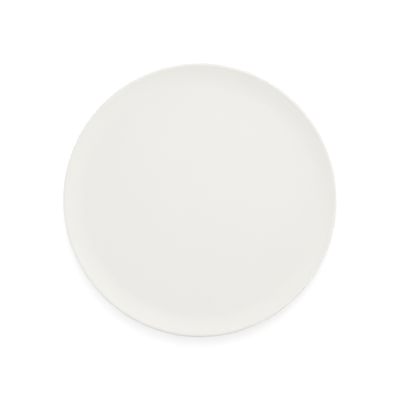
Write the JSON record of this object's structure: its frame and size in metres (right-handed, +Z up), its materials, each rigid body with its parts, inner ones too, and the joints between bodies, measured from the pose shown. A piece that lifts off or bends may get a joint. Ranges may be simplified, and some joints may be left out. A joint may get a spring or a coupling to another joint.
{
  "type": "coupe dinner plate",
  "caption": "Round rimless dinner plate with a flat floor that sweeps up to a rounded lip, in matt white glazed stoneware on a low bare foot ring.",
  "frame": {"origin": "on the table under the middle of the plate, in the plane of the foot ring's bare ground", "axes": "+Z up along the plate's axis of turning, out of its eating face; +X and +Y lie in the table and are alike"},
  "size_m": [0.27, 0.27, 0.022],
  "materials": {
    "fired_clay": "bare, finely sanded stoneware",
    "matt_glaze": "matt warm white glaze"
  },
  "bodies": {
    "root": {"clay_body": "fired_clay", "face_glaze": "matt_glaze", "back_glaze": "matt_glaze", "foot_well_glaze": "matt_glaze"}
  },
  "joints": []
}
